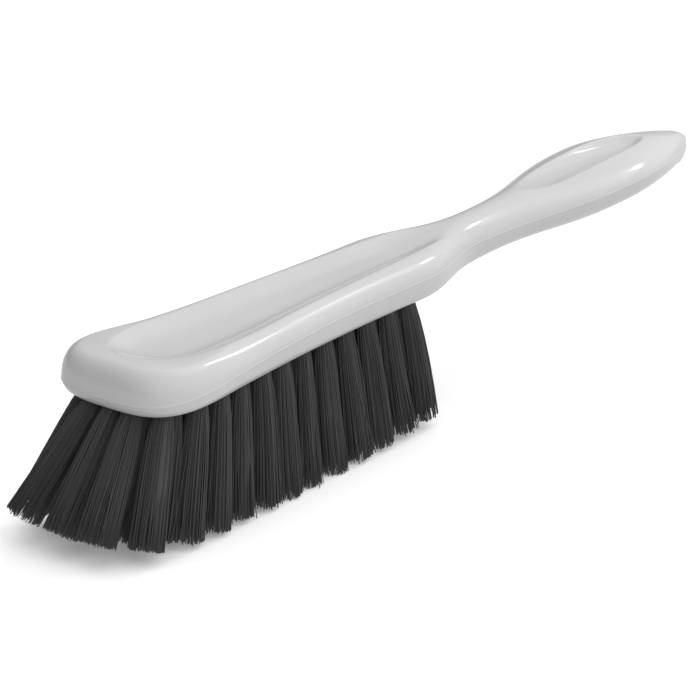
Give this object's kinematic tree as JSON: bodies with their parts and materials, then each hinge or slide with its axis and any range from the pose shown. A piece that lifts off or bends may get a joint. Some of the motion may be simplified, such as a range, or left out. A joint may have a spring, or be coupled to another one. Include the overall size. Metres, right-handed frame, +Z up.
{
  "type": "hand brush",
  "caption": "One-piece moulded hand brush with rows of flared bristle tufts, a dished head and a grip with a leaf-shaped thumb recess.",
  "frame": {"origin": "centre of the bounding box in plan, on the plane of the bristle tips", "axes": "+Y along the brush from the nose of the head to the tip of the grip, +Z up, X across the brush"},
  "size_m": [0.0564, 0.3322, 0.066],
  "materials": {
    "stock_plastic": "gloss, pale grey",
    "bristle": "black filament, slightly glossy",
    "staple_wire": "drawn flat wire"
  },
  "bodies": {
    "root": {"stock": "stock_plastic", "tuft_row_01": "bristle", "tuft_row_02": "bristle", "tuft_row_03": "bristle", "tuft_row_04": "bristle", "tuft_row_05": "bristle", "tuft_row_06": "bristle", "tuft_row_07": "bristle", "tuft_row_08": "bristle", "tuft_row_09": "bristle", "tuft_row_10": "bristle", "tuft_row_11": "bristle", "tuft_row_12": "bristle", "tuft_row_13": "bristle", "tuft_row_14": "bristle", "tuft_row_15": "bristle", "tuft_row_16": "bristle", "tuft_row_17": "bristle", "tuft_row_18": "bristle", "tuft_row_19": "bristle", "tuft_row_20": "bristle", "tuft_row_21": "bristle", "tuft_row_22": "bristle", "tuft_row_23": "bristle", "tuft_row_24": "bristle", "staple_row_01": "staple_wire", "staple_row_02": "staple_wire", "staple_row_03": "staple_wire", "staple_row_04": "staple_wire", "staple_row_05": "staple_wire", "staple_row_06": "staple_wire", "staple_row_07": "staple_wire", "staple_row_08": "staple_wire", "staple_row_09": "staple_wire", "staple_row_10": "staple_wire", "staple_row_11": "staple_wire", "staple_row_12": "staple_wire", "staple_row_13": "staple_wire", "staple_row_14": "staple_wire", "staple_row_15": "staple_wire", "staple_row_16": "staple_wire", "staple_row_17": "staple_wire", "staple_row_18": "staple_wire", "staple_row_19": "staple_wire", "staple_row_20": "staple_wire", "staple_row_21": "staple_wire", "staple_row_22": "staple_wire", "staple_row_23": "staple_wire", "staple_row_24": "staple_wire"}
  },
  "joints": []
}
